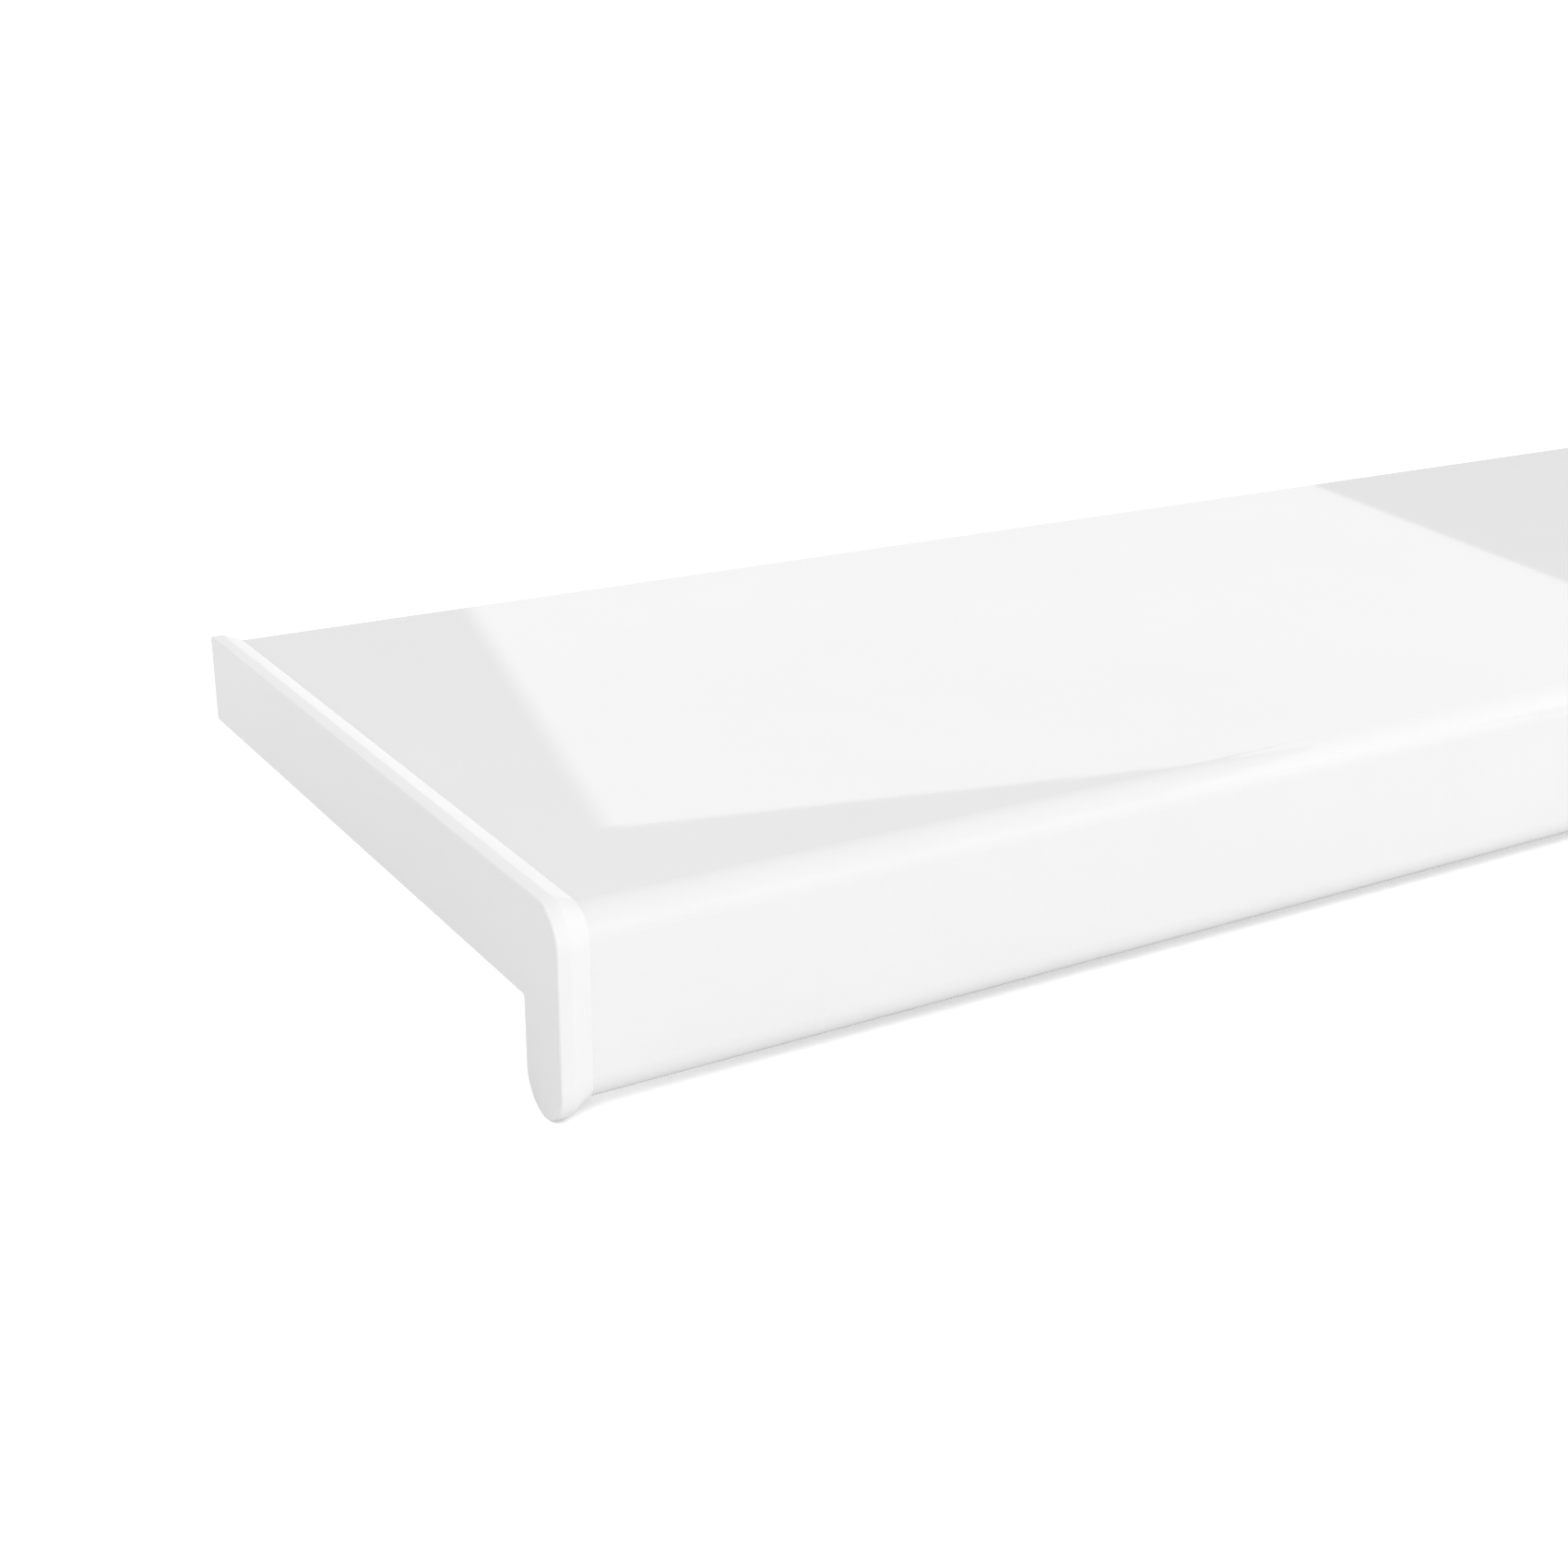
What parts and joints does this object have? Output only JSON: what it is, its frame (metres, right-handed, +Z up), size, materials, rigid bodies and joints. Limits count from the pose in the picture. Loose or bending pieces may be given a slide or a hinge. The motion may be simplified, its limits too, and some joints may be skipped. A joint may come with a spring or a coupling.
{
  "type": "window sill board",
  "caption": "White plastic interior window sill board with a rounded drop nose, hollow chambers inside and a lipped end cap closing each end.",
  "frame": {"origin": "centre of the underside's bed, the flat that lies on the wall behind the nose", "axes": "+X along the length, +Y from the nose back to the window frame, +Z up out of the top face"},
  "size_m": [1.004, 0.2023, 0.0446],
  "materials": {
    "board_plastic": "smooth white gloss film on an extruded board",
    "cap_plastic": "white moulded plastic, satin gloss"
  },
  "bodies": {
    "root": {"sill_board": "board_plastic", "end_cap_left": "cap_plastic", "end_cap_right": "cap_plastic"}
  },
  "joints": []
}
